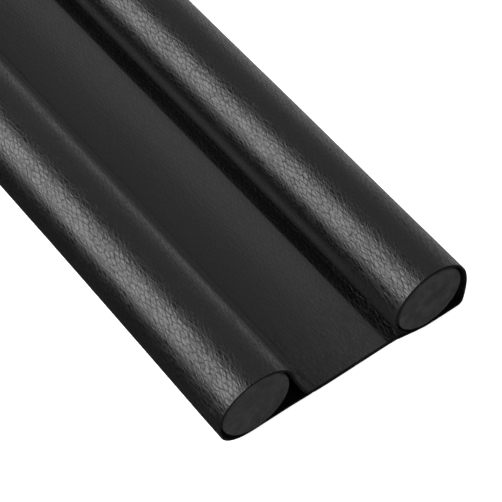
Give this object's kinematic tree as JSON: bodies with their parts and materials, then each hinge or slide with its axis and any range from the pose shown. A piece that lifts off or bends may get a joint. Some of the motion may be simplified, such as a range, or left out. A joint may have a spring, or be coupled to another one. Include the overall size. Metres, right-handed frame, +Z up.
{
  "type": "draught excluder",
  "caption": "Under-door draught excluder: foam rods in the side pockets of a black leatherette sleeve, joined by a flat web that passes beneath the door.",
  "frame": {"origin": "centre of the base, on the floor, halfway along the rolls", "axes": "+X across, from the left roll to the right one; +Y along the rolls, away from the pictured end; +Z up"},
  "size_m": [0.111, 0.93, 0.0321],
  "materials": {
    "leatherette": "satin black, pebbled grain",
    "foam": "matt dark grey closed-cell foam"
  },
  "bodies": {
    "root": {"sleeve": "leatherette", "rod_left": "foam", "rod_right": "foam"}
  },
  "joints": []
}
